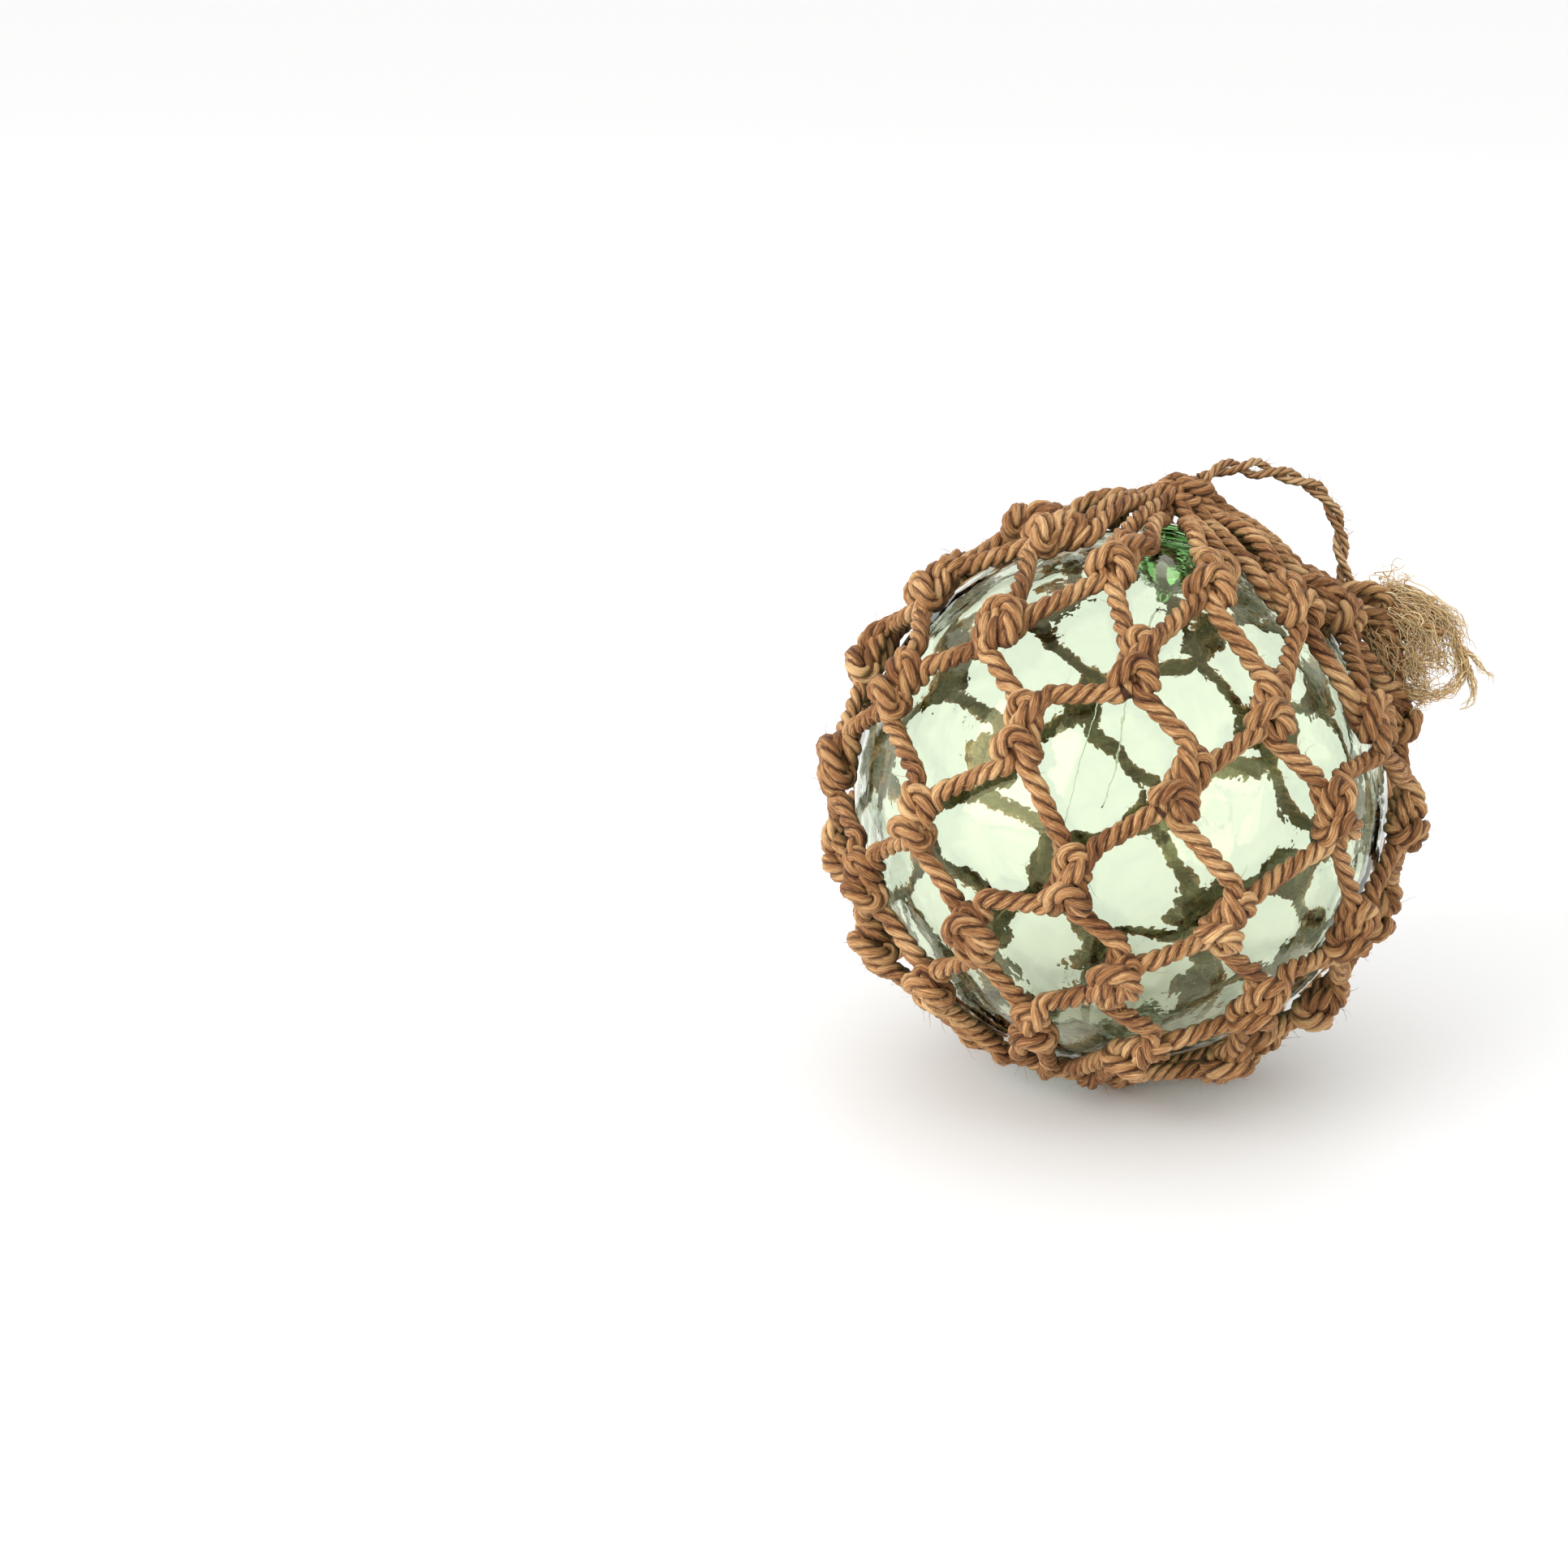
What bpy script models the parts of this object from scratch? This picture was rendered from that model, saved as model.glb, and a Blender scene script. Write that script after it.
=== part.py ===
"""Netted glass float: a sealed glass ball in a knotted rope net, gathered at a crown that carries a
hanging loop, whose end is tied off in a frayed knot. Metres, +Z up, the underside at z = 0."""

from math import acos, cos, pi, radians, sin, sqrt
from random import Random

import bmesh
import bpy
from mathutils import Matrix, Vector
from mathutils.geometry import interpolate_bezier

# Glass ball, and the seal button that closes it under the crown
GLASS_DIAMETER = 0.250
SEAL_DIAMETER = 0.034
SEAL_RISE = 0.0055
SEAL_EDGE = 0.0015

# Rope of the net, its gathered strands, and the cord of the loop
ROPE_DIAMETER = 0.010
STRAND_DIAMETER = 0.0075
CORD_DIAMETER = 0.0075

# Knots: the bight above and the slanting turn below it, as half sizes across, up and out
BIGHT_HALF_SIZES = (0.0098, 0.0095, 0.0085)
BIGHT_RISE = 0.0050
TURN_HALF_SIZES = (0.0122, 0.0072, 0.0092)
TURN_DROP = 0.0045
TURN_SLOPE = radians(20)

# Net: latitude of each row of knots about the net's own axis, each row half a step round, and how
# much closer the meshes sit at the front than at the back
KNOTS_ROUND = 10
ROW_LATITUDES = (57, 32.5, 13.5, -8.75, -27.75, -47)
NET_TURN = radians(1.0)
NET_CROWDING = 0.08
KNOT_STRAY = radians(1.3)
STRAY_SEED = 468

# Ring that draws the last meshes together under the ball, and the hitches on it
RING_LATITUDE = radians(-74)
HITCH_SIZE = 0.0075

# Lean of the net's axis and of the crown, to the right and to the back
NET_LEAN_RIGHT = radians(15.25)
NET_LEAN_BACK = radians(8)
CROWN_LEAN_RIGHT = radians(12)
CROWN_LEAN_BACK = radians(10.5)

# Crown: how far its middle stands over the glass, and the size of the gathered bundle
CROWN_RISE = 0.0235
CROWN_HALF_WIDTH = 0.0150
CROWN_HALF_HEIGHT = 0.0075
STRAND_SPREAD = 0.0055
STRAND_LAYER = 0.0025

# Fits
CLEARANCE = 0.0004
PRESSED_FLAT = 0.0040

# Hanging loop: its route from the crown to the tail knot, from the ball's centre
LOOP_ROUTE = (
    (0.0435, 0.0306, 0.1493),
    (0.0517, 0.0322, 0.1509),
    (0.0594, 0.0330, 0.1501),
    (0.0709, 0.0339, 0.1481),
    (0.0823, 0.0343, 0.1443),
    (0.0927, 0.0345, 0.1386),
    (0.0983, 0.0337, 0.1312),
    (0.1023, 0.0324, 0.1224),
    (0.1036, 0.0301, 0.1122),
    (0.1045, 0.0279, 0.1036),
    (0.1060, 0.0259, 0.0961),
)

# Tail knot and the frayed rope end that hangs from it: route and radius, from the ball's centre
TAIL_ROUTE = (
    (0.1170, 0.0237, 0.0890),
    (0.1230, 0.0227, 0.0894),
    (0.1300, 0.0186, 0.0865),
    (0.1355, 0.0117, 0.0814),
    (0.1400, 0.0029, 0.0737),
    (0.1450, -0.0030, 0.0620),
    (0.1500, -0.0045, 0.0509),
    (0.1540, -0.0051, 0.0427),
)
TAIL_RADII = (0.0050, 0.0088, 0.0070, 0.0115, 0.0140, 0.0140, 0.0100, 0.0050)

# Facets
GLASS_STEPS = 36
GLASS_RINGS = 18
ROPE_SIDES = 6
KNOT_SIDES = 6
KNOT_RINGS = 4
RING_STEPS = 20
NET_DETAIL = 0.5
ROUTE_STEPS = 2

GLASS_RADIUS = GLASS_DIAMETER / 2
SEAL_RADIUS = SEAL_DIAMETER / 2
ROPE_RADIUS = ROPE_DIAMETER / 2
STRAND_RADIUS = STRAND_DIAMETER / 2
CORD_RADIUS = CORD_DIAMETER / 2
KNOT_HALF_DEPTH = max(BIGHT_HALF_SIZES[2], TURN_HALF_SIZES[2])
KNOT_ORBIT = GLASS_RADIUS + CLEARANCE + KNOT_HALF_DEPTH
LEG_ORBIT = GLASS_RADIUS + CLEARANCE + ROPE_RADIUS
CROWN_ORBIT = GLASS_RADIUS + CROWN_RISE


def clear_scene():
    for old in list(bpy.data.objects):
        bpy.data.objects.remove(old, do_unlink=True)


def new_collection(name):
    collection = bpy.data.collections.new(name)
    bpy.context.scene.collection.children.link(collection)
    return collection


def principled(name, colour, roughness, transmission=0.0):
    material = bpy.data.materials.new(name)
    material.use_nodes = True
    shader = material.node_tree.nodes["Principled BSDF"]
    shader.inputs["Base Color"].default_value = (*colour, 1)
    shader.inputs["Roughness"].default_value = roughness
    shader.inputs["Transmission Weight"].default_value = transmission
    return material


def add_object(name, data, collection, material=None):
    obj = bpy.data.objects.new(name, data)
    collection.objects.link(obj)
    if material:
        data.materials.append(material)
    return obj


def mesh_from(name, bm):
    bmesh.ops.recalc_face_normals(bm, faces=bm.faces)
    mesh = bpy.data.meshes.new(name)
    bm.to_mesh(mesh)
    bm.free()
    return mesh


def evaluated_corners(objects):
    """Lowest and highest corner of some objects as they stand, modifiers included."""
    bpy.context.view_layer.update()
    graph = bpy.context.evaluated_depsgraph_get()
    points = []
    for obj in objects:
        seen = obj.evaluated_get(graph)
        points += [obj.matrix_world @ vertex.co for vertex in seen.data.vertices]
    low = Vector(min(point[i] for point in points) for i in range(3))
    high = Vector(max(point[i] for point in points) for i in range(3))
    return low, high


def leaning_frame(lean_right, lean_back):
    """Axes whose +Z leans right (+X) and back (+Y) from vertical, and whose -Y faces the front."""
    return Matrix.Rotation(lean_right, 3, "Y") @ Matrix.Rotation(-lean_back, 3, "X")


def on_sphere(frame, latitude, longitude, radius):
    """A point by its latitude and longitude about the frame's +Z; longitude 0 is the front."""
    level = Vector((sin(longitude), -cos(longitude), 0)) * cos(latitude)
    return frame @ (level + Vector((0, 0, sin(latitude)))) * radius


def upright_frame(point, axis):
    """Axes at a point on the net: X across, Y towards the crown, Z out from the glass."""
    out = point.normalized()
    across = axis.cross(out).normalized()
    return Matrix((across, out.cross(across), out)).transposed()


def knot_turn(row, k):
    """Longitude of a knot; the meshes crowd a little towards the front."""
    even = NET_TURN + (k - (row % 2) / 2) * 2 * pi / KNOTS_ROUND
    return even - NET_CROWDING * sin(even)


def rises_right(row, k):
    """Neighbouring knots are tied from opposite sides, so their turns slope opposite ways."""
    return (row + k) % 2 == 1


def knot_rows(frame):
    """The centre of each knot, row by row from the crown down, each with a little hand-tied stray."""
    random = Random(STRAY_SEED)
    rows = []
    for row, latitude in enumerate(ROW_LATITUDES):
        centres = []
        for k in range(KNOTS_ROUND):
            up = radians(latitude) + random.uniform(-KNOT_STRAY, KNOT_STRAY)
            turn = knot_turn(row, k) + random.uniform(-KNOT_STRAY, KNOT_STRAY)
            centres.append(on_sphere(frame, up, turn, KNOT_ORBIT))
        rows.append(centres)
    return rows


def add_lump(bm, centre, axes, half_sizes):
    place = Matrix.Translation(centre) @ axes.to_4x4() @ Matrix.Diagonal((*half_sizes, 1))
    bmesh.ops.create_uvsphere(bm, u_segments=KNOT_SIDES, v_segments=KNOT_RINGS, radius=1, matrix=place)


def add_rod(bm, start, end, radius):
    way = end - start
    place = Matrix.Translation((start + end) / 2) @ way.to_track_quat("Z", "Y").to_matrix().to_4x4()
    bmesh.ops.create_cone(bm, cap_ends=True, segments=ROPE_SIDES, radius1=radius, radius2=radius,
                          depth=way.length, matrix=place)


def knot_lobes(rises_right):
    """The two lobes of a sheet bend seen from a step away, in the knot's own axes: the bight above,
    and the turn that lies slantwise round its neck. Each is a middle, a rotation and its half sizes."""
    slope = TURN_SLOPE if rises_right else -TURN_SLOPE
    bight = Vector((0, BIGHT_RISE, BIGHT_HALF_SIZES[2] - KNOT_HALF_DEPTH))
    turn = Vector((0, -TURN_DROP, TURN_HALF_SIZES[2] - KNOT_HALF_DEPTH))
    return (
        (bight, Matrix.Identity(3), BIGHT_HALF_SIZES),
        (turn, Matrix.Rotation(slope, 3, "Z"), TURN_HALF_SIZES),
    )


def knot_extent(direction, rises_right):
    """How far a knot reaches from its centre along a direction given in its own axes."""
    reaches = []
    for middle, rotation, half_sizes in knot_lobes(rises_right):
        across = Matrix.Diagonal(half_sizes) @ rotation.transposed() @ direction
        reaches.append(middle.dot(direction) + across.length)
    return max(reaches)


def add_knot(bm, centre, axis, rises_right):
    axes = upright_frame(centre, axis)
    for middle, rotation, half_sizes in knot_lobes(rises_right):
        add_lump(bm, centre + axes @ middle, axes @ rotation, half_sizes)


def face_of_knot(knot, through, towards, axis, rises_right):
    """Where a rope through one point leaves the knot's face on its way towards another point."""
    way = (towards - through).normalized()
    reach = knot_extent(upright_frame(knot, axis).transposed() @ way, rises_right) + CLEARANCE
    return through + way * (reach - (through - knot).dot(way))


def add_leg(bm, upper, lower):
    """One side of a mesh, pulled straight between two knots just clear of the glass."""
    start, end = leg_ends(upper, lower)
    add_rod(bm, start, end, ROPE_RADIUS)


def add_short_leg(bm, upper, lower, axis, rises_right):
    """A leg that stops at the face of the lower knot, which belongs to the next solid."""
    start, end = leg_ends(upper, lower)
    add_rod(bm, start, face_of_knot(lower, end, start, axis, rises_right), ROPE_RADIUS)


def leg_ends(upper, lower):
    orbit = max(KNOT_ORBIT, LEG_ORBIT / cos(upper.angle(lower) / 2))
    return upper.normalized() * orbit, lower.normalized() * orbit


def legs_between(upper, lower, lower_row):
    """Each knot hangs two legs, to the knots below it on its right and on its left."""
    right = lower_row % 2
    for k in range(len(upper)):
        for side in (right, right - 1):
            below = (k + side) % KNOTS_ROUND
            yield k, below


def build_crown(top_row, axis, collection, material):
    """The bundle over the seal, and the two gathered strands that reach it from each top knot."""
    crown = leaning_frame(CROWN_LEAN_RIGHT, CROWN_LEAN_BACK).col[2] * CROWN_ORBIT
    up = crown.normalized()
    bundle = bmesh.new()
    strands = bmesh.new()
    half_sizes = (CROWN_HALF_WIDTH, CROWN_HALF_WIDTH, CROWN_HALF_HEIGHT)
    add_lump(bundle, crown, upright_frame(crown, Vector((0, 1, 0))), half_sizes)
    for k, knot in enumerate(top_row):
        aside = upright_frame(knot, axis).col[0] * STRAND_SPREAD
        layer = up * (STRAND_LAYER if k % 2 else -STRAND_LAYER)
        for side in (-1, 1):
            end = crown + side * aside / 2 + layer
            start = face_of_knot(knot, knot + side * aside, end, axis, rises_right(0, k))
            add_rod(strands, start, end, STRAND_RADIUS)
    return union("net_crown", bundle, strands, collection, material)


def add_ring(bm, frame):
    """The closing ring: a rope circle round the net's axis, made by spinning its section."""
    middle = on_sphere(frame, RING_LATITUDE, 0, LEG_ORBIT)
    axis = frame.col[2]
    out = (middle - axis * middle.dot(axis)).normalized()
    section = Matrix((out, axis, out.cross(axis))).transposed().to_4x4()
    made = bmesh.ops.create_circle(bm, segments=ROPE_SIDES, radius=ROPE_RADIUS,
                                   matrix=Matrix.Translation(middle) @ section)
    edges = list({edge for vertex in made["verts"] for edge in vertex.link_edges})
    bmesh.ops.spin(bm, geom=edges, cent=(0, 0, 0), axis=axis, angle=2 * pi,
                   steps=RING_STEPS, use_merge=True)


def build_base(bottom_row, frame, collection, material):
    """The bottom knots, and the half meshes that hang from them on the closing ring."""
    row = len(ROW_LATITUDES)
    axis = frame.col[2]
    knots = bmesh.new()
    ropes = bmesh.new()
    for k, centre in enumerate(bottom_row):
        add_knot(knots, centre, axis, rises_right(row - 1, k))
    add_ring(knots, frame)
    hitches = []
    for k in range(KNOTS_ROUND):
        hitch = on_sphere(frame, RING_LATITUDE, knot_turn(row, k), LEG_ORBIT)
        add_lump(ropes, hitch, upright_frame(hitch, axis), (HITCH_SIZE, HITCH_SIZE, ROPE_RADIUS))
        hitches.append(hitch)
    for k, below in legs_between(bottom_row, hitches, row):
        add_leg(ropes, bottom_row[k], hitches[below])
    return union("net_base", knots, ropes, collection, material)


def union(name, bm, extra, collection, material):
    """Joins the overlapping pieces of two meshes into one closed body."""
    obj = add_object(name, mesh_from(name, bm), collection, material)
    other = add_object(name + "_joined", mesh_from(name + "_joined", extra), collection)
    boolean(obj, "UNION", other, own_overlaps=True)
    bpy.context.view_layer.update()
    graph = bpy.context.evaluated_depsgraph_get()
    joined = bpy.data.meshes.new_from_object(obj.evaluated_get(graph))
    obj.modifiers.clear()
    obj.data = joined
    bpy.data.objects.remove(other, do_unlink=True)
    fewer = obj.modifiers.new("fewer_facets", "DECIMATE")
    fewer.ratio = NET_DETAIL
    return obj


def boolean(obj, operation, tool, own_overlaps=False):
    cut = obj.modifiers.new(tool.name, "BOOLEAN")
    cut.operation = operation
    cut.solver = "EXACT"
    cut.use_self = own_overlaps
    cut.object = tool


def build_open_net(rows, axis, collection, material):
    """The meshes that lie on the glass, from the top knots down to the faces of the bottom ones."""
    last = len(rows) - 1
    knots = bmesh.new()
    ropes = bmesh.new()
    for row in range(last):
        upper, lower = rows[row], rows[row + 1]
        for k, centre in enumerate(upper):
            add_knot(knots, centre, axis, rises_right(row, k))
        for k, below in legs_between(upper, lower, row + 1):
            if row + 1 < last:
                add_leg(ropes, upper[k], lower[below])
            else:
                add_short_leg(ropes, upper[k], lower[below], axis, rises_right(last, below))
    return union("rope_net", knots, ropes, collection, material)


def build_net(collection, material):
    """One net, parted where its gathered top and its base leave the meshes that lie on the glass."""
    frame = leaning_frame(NET_LEAN_RIGHT, NET_LEAN_BACK)
    axis = frame.col[2]
    rows = knot_rows(frame)
    crown = build_crown(rows[0], axis, collection, material)
    meshes = build_open_net(rows, axis, collection, material)
    base = build_base(rows[-1], frame, collection, material)
    return crown, meshes, base


def build_glass(collection, material):
    """One turned profile: the seal button on top, then the ball's outline down to its lower pole."""
    meets = sqrt(GLASS_RADIUS ** 2 - SEAL_RADIUS ** 2)
    top = GLASS_RADIUS + SEAL_RISE
    profile = [(0, top), (SEAL_RADIUS - SEAL_EDGE, top), (SEAL_RADIUS, top - SEAL_EDGE)]
    start = acos(meets / GLASS_RADIUS)
    for ring in range(GLASS_RINGS + 1):
        angle = start + (pi - start) * ring / GLASS_RINGS
        profile.append((GLASS_RADIUS * sin(angle), GLASS_RADIUS * cos(angle)))
    profile[-1] = (0, -GLASS_RADIUS)
    mesh = bpy.data.meshes.new("glass_float")
    edges = [(i, i + 1) for i in range(len(profile) - 1)]
    mesh.from_pydata([(x, 0, z) for x, z in profile], edges, [])
    glass = add_object("glass_float", mesh, collection, material)
    turn = glass.modifiers.new("turn", "SCREW")
    turn.steps = GLASS_STEPS
    turn.render_steps = GLASS_STEPS
    turn.use_merge_vertices = True
    turn.merge_threshold = 0.00001
    turn.use_smooth_shade = True
    lean = leaning_frame(CROWN_LEAN_RIGHT, CROWN_LEAN_BACK)
    glass.rotation_euler = lean.to_euler()
    return glass


def smooth_points(route, steps):
    """Points on one smooth curve that passes through every point of the route."""
    points = [Vector(point) for point in route]
    ends = [2 * points[0] - points[1]] + points + [2 * points[-1] - points[-2]]
    made = []
    for i in range(1, len(ends) - 2):
        out = ends[i] + (ends[i + 1] - ends[i - 1]) / 6
        back = ends[i + 1] - (ends[i + 2] - ends[i]) / 6
        made += interpolate_bezier(ends[i], out, back, ends[i + 1], steps + 1)[:-1]
    return made + [points[-1]]


def build_tube(name, points, radii, collection, material):
    curve = bpy.data.curves.new(name, "CURVE")
    curve.dimensions = "3D"
    curve.bevel_depth = 1
    curve.bevel_resolution = 2
    curve.use_fill_caps = True
    spline = curve.splines.new("POLY")
    spline.points.add(len(points) - 1)
    for place, point, radius in zip(spline.points, points, radii):
        place.co = (*point, 1)
        place.radius = radius
    return add_object(name, curve, collection, material)


def build_loop(collection, material):
    points = smooth_points(LOOP_ROUTE, ROUTE_STEPS)
    return build_tube("hanging_loop", points, [CORD_RADIUS] * len(points), collection, material)


def build_tail(collection, material):
    points = smooth_points(TAIL_ROUTE, ROUTE_STEPS)
    widths = smooth_points([(radius, 0, 0) for radius in TAIL_RADII], ROUTE_STEPS)
    return build_tube("tail_knot", points, [width.x for width in widths], collection, material)


def cut_underside(base, cutters):
    """The rope under the ball is pressed flat where the float stands on it."""
    size = 2 * GLASS_DIAMETER
    bm = bmesh.new()
    bmesh.ops.create_cube(bm, size=size, matrix=Matrix.Translation((0, 0, -size / 2)))
    floor = add_object("floor_cut", mesh_from("floor_cut", bm), cutters)
    floor.hide_render = True
    floor.display_type = "WIRE"
    boolean(base, "DIFFERENCE", floor)


def main():
    clear_scene()
    parts = new_collection("netted_glass_float")
    cutters = new_collection("cutters")
    glass_green = principled("glass", (0.62, 0.83, 0.62), 0.03, transmission=1.0)
    rope_brown = principled("rope", (0.43, 0.22, 0.09), 0.8)
    cord_brown = principled("cord", (0.50, 0.31, 0.14), 0.8)
    frayed_straw = principled("frayed_fibre", (0.66, 0.50, 0.27), 0.85)
    glass = build_glass(parts, glass_green)
    crown, meshes, base = build_net(parts, rope_brown)
    loop = build_loop(parts, cord_brown)
    tail = build_tail(parts, frayed_straw)

    low, high = evaluated_corners([glass, crown, meshes, base])
    ball_centre = bpy.data.objects.new("ball_centre", None)
    parts.objects.link(ball_centre)
    ball_centre.location = (-(low.x + high.x) / 2, -(low.y + high.y) / 2, -low.z - PRESSED_FLAT)
    for piece in (glass, crown, meshes, base, loop, tail):
        piece.parent = ball_centre
    cut_underside(base, cutters)


main()
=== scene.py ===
from math import acos, ceil, cos, floor, pi, radians, sin, sqrt, tau
from random import Random

import bmesh
import bpy
from mathutils import Matrix, Vector, noise
from mathutils.geometry import interpolate_bezier


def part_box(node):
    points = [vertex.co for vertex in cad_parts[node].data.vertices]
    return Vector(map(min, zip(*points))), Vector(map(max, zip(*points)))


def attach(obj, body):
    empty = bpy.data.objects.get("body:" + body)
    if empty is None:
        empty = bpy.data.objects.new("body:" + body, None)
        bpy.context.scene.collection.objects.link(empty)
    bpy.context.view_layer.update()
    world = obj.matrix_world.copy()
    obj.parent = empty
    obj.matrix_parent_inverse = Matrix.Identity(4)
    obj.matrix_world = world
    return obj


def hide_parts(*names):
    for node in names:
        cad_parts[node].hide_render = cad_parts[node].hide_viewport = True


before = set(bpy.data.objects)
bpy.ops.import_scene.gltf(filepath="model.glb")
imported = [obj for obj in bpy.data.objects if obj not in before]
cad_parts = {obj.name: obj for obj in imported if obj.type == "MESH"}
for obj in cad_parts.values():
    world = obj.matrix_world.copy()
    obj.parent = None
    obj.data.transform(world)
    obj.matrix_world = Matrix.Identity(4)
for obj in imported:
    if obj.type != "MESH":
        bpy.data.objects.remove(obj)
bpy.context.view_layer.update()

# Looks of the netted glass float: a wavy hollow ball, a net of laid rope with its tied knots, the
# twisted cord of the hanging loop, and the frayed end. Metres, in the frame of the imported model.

# Glass, and the net tied round it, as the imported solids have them
GLASS_RADIUS = 0.125
SEAL_RADIUS = 0.017
SEAL_RISE = 0.0055
ROPE_DIAMETER = 0.010
KNOTS_ROUND = 10
ROW_LATITUDES = (57, 32.5, 13.5, -8.75, -27.75, -47)
NET_TURN = radians(1.0)
NET_CROWDING = 0.08
KNOT_STRAY = radians(1.3)
STRAY_SEED = 468
RING_LATITUDE = radians(-74)
NET_LEAN = (radians(15.25), radians(8))
CROWN_LEAN = (radians(12), radians(10.5))
KNOT_ORBIT = 0.1346
LEG_ORBIT = 0.1304

# Room that the rope keeps from the glass, and from what the float stands on
GLASS_GAP = 0.0001
FLOOR_GAP = 0.0003

# Camera: tilt below the horizontal, and the picture's middle right of and above the ball's centre
VIEW_TILT = radians(18)
CAMERA_DISTANCE = 1.6
LENS = 78
AIM_RIGHT = -0.1578
AIM_UP = 0.0054

# Studio: its lights as name, place, width and watts, and its floor
STUDIO_LIGHTS = (
    ("key", (-2.25, -1.65, 1.25), 2.4, 66),
    ("fill", (2.0, -1.4, 1.4), 1.6, 4),
    ("back", (0.4, 2.2, 1.8), 1.6, 6),
)
FLOOR_RADIUS = 14
FLOOR_SIDES = 64
FLOOR_COLOUR = (0.955, 0.955, 0.950)
FLOOR_ROUGHNESS = 0.6

# Plant fibre: its dark, middle and light tones in each material, where on the noise they lie, how
# much streaks and drift add to it, and their scales along and across the lay
WHITE = (1, 1, 1)
NET_TONES = ((0.158, 0.060, 0.018), (0.412, 0.198, 0.073), (0.695, 0.448, 0.213))
LOOP_TONES = ((0.270, 0.126, 0.052), (0.515, 0.304, 0.143), (0.760, 0.541, 0.304))
UNLAID_TONES = ((0.230, 0.100, 0.036), (0.500, 0.280, 0.115), (0.740, 0.500, 0.250))
FRAYED_TONES = ((0.640, 0.360, 0.125), (0.950, 0.680, 0.310), (0.995, 0.870, 0.540))
TONE_STOPS = (0.50, 0.64, 0.78)
STREAK_SCALES = (70, 1250, 1250)
STREAK_SHARE = 0.75
DRIFT_SCALES = (28, 120, 120)
DRIFT_SHARE = 0.55

# What darkens it: painted shade in the grooves, between two distances from the rope's middle
# (a tail fibre's depth is drawn at random, which gives each fibre its own tone), blotches, and
# painted shade on the side that lies against the glass
GROOVE_SHADE = (0.20, 0.13, 0.085)
NET_GROOVE = (0.0029, 0.0044)
LOOP_GROOVE = (0.0012, 0.0019)
UNLAID_GROOVE = (0.0022, 0.0034)
FRAYED_GROOVE = (0.0010, 0.0022)
ROPE_BLOTCH = (0.72, 0.64, 0.56)
FRAYED_BLOTCH = (0.92, 0.88, 0.82)
BLOTCH_SCALE = 22.0
BLOTCH_STOPS = (0.35, 0.62)
PAINTED_INNER_SHADE = (0.26, 0.29, 0.13)
INNER_STOPS = (0.25, 0.85)

# Its surface
FIBRE_ROUGHNESS = (0.56, 0.82)
FIBRE_SPECULAR = 0.26
FIBRE_BUMP = 0.75
FIBRE_BUMP_DEPTH = 0.0009
ROPE_SHEEN = 0.12
FRAYED_SHEEN = 0.8
SHEEN_TINT = (1.0, 0.80, 0.62)

# Clear glass: its tints and the tint of what it mirrors, and its ripples
GLASS_IOR = 1.5
CLEAR_TINT = (0.860, 0.920, 0.790)
SEAL_TINT = (0.30, 0.66, 0.24)
GLASS_REFLECTION = (0.86, 0.82, 0.44)
CLEAR_RIPPLE = 0.11
SEAL_RIPPLE = 0.05
RIPPLE_DEPTH = 0.002
RIPPLE_STRETCH = (1.0, 1.0, 0.35)
SLOW_RIPPLES = 55.0
FINE_RIPPLES = 320.0
FINE_SHARE = 0.10

# Ball: its wall and facets, and how deep its skin, its seal and its hollow are waved, with the
# scales of the waves
GLASS_WALL = 0.0045
GLASS_STEPS = 144
GLASS_RINGS = 90
SKIN_INSET = 0.00015
SKIN_WAVE = 0.00022
SKIN_SINK = 1.3
SKIN_SCALES = (3.1, 7.3)
SEAL_LUMP = 0.0005
SEAL_SCALE = 110
HOLLOW_WAVE = 0.0010
HOLLOW_RIDGE = 0.00045
HOLLOW_GRAIN = 0.00010
WAVE_SCALE = 2.6
RIDGE_SCALES = (9, 9, 2.5)
GRAIN_SCALES = (26, 26, 7)

# Seal, as distance off the axis and drop: its face below the top of the button, and its foot below
# the ball's radius. Then where the ball's skin takes over.
SEAL_FACE = ((0, 0.0004), (0.004, 0.0003), (0.008, 0.0005), (0.0115, 0.0010), (0.0140, 0.0019),
             (0.0157, 0.0032), (0.0165, 0.0050))
SEAL_FOOT = ((0.0160, 0.0020), (0.0168, 0.0036), (0.0186, 0.0030))
SEAL_EDGE = 0.021

# Glass drop under the seal, as distance off the axis and height from the ball's centre, where the
# hollow takes over, and how deep and how far off the axis the green glass reaches
DROP = ((0, 0.0900), (0.0014, 0.0903), (0.0025, 0.0915), (0.0029, 0.0935), (0.0036, 0.0960),
        (0.0060, 0.0983), (0.0095, 0.1002), (0.0130, 0.1035), (0.0152, 0.1080), (0.0163, 0.1125),
        (0.0176, 0.1160), (0.0205, 0.1180))
DROP_EDGE = 0.025
GREEN_FROM = 0.085
GREEN_WITHIN = 0.0195

# Threads of glass in the hollow, as start, end and radius. Places are right, back and up along the
# crown's axes.
THREADS = (
    ((0, 0, 0.0885), (-0.010, -0.012, -0.006), 0.00035),
    ((-0.020, -0.03, 0.060), (-0.030, -0.04, -0.030), 0.00025),
)
THREAD_STEPS = 24
THREAD_SIDES = 6
THREAD_BENDS = (0.0022, 0.0012)
THREAD_TAPER = (1.5, 0.8)

# Seed bubbles in the wall: how many, their radii, how far off the middle of the wall, how long
BUBBLES = 26
BUBBLE_RADII = (0.00025, 0.00085)
BUBBLE_STRAY = 0.0004
BUBBLE_STRETCHES = (1, 1.5)
BUBBLE_SEED = 23

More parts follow.
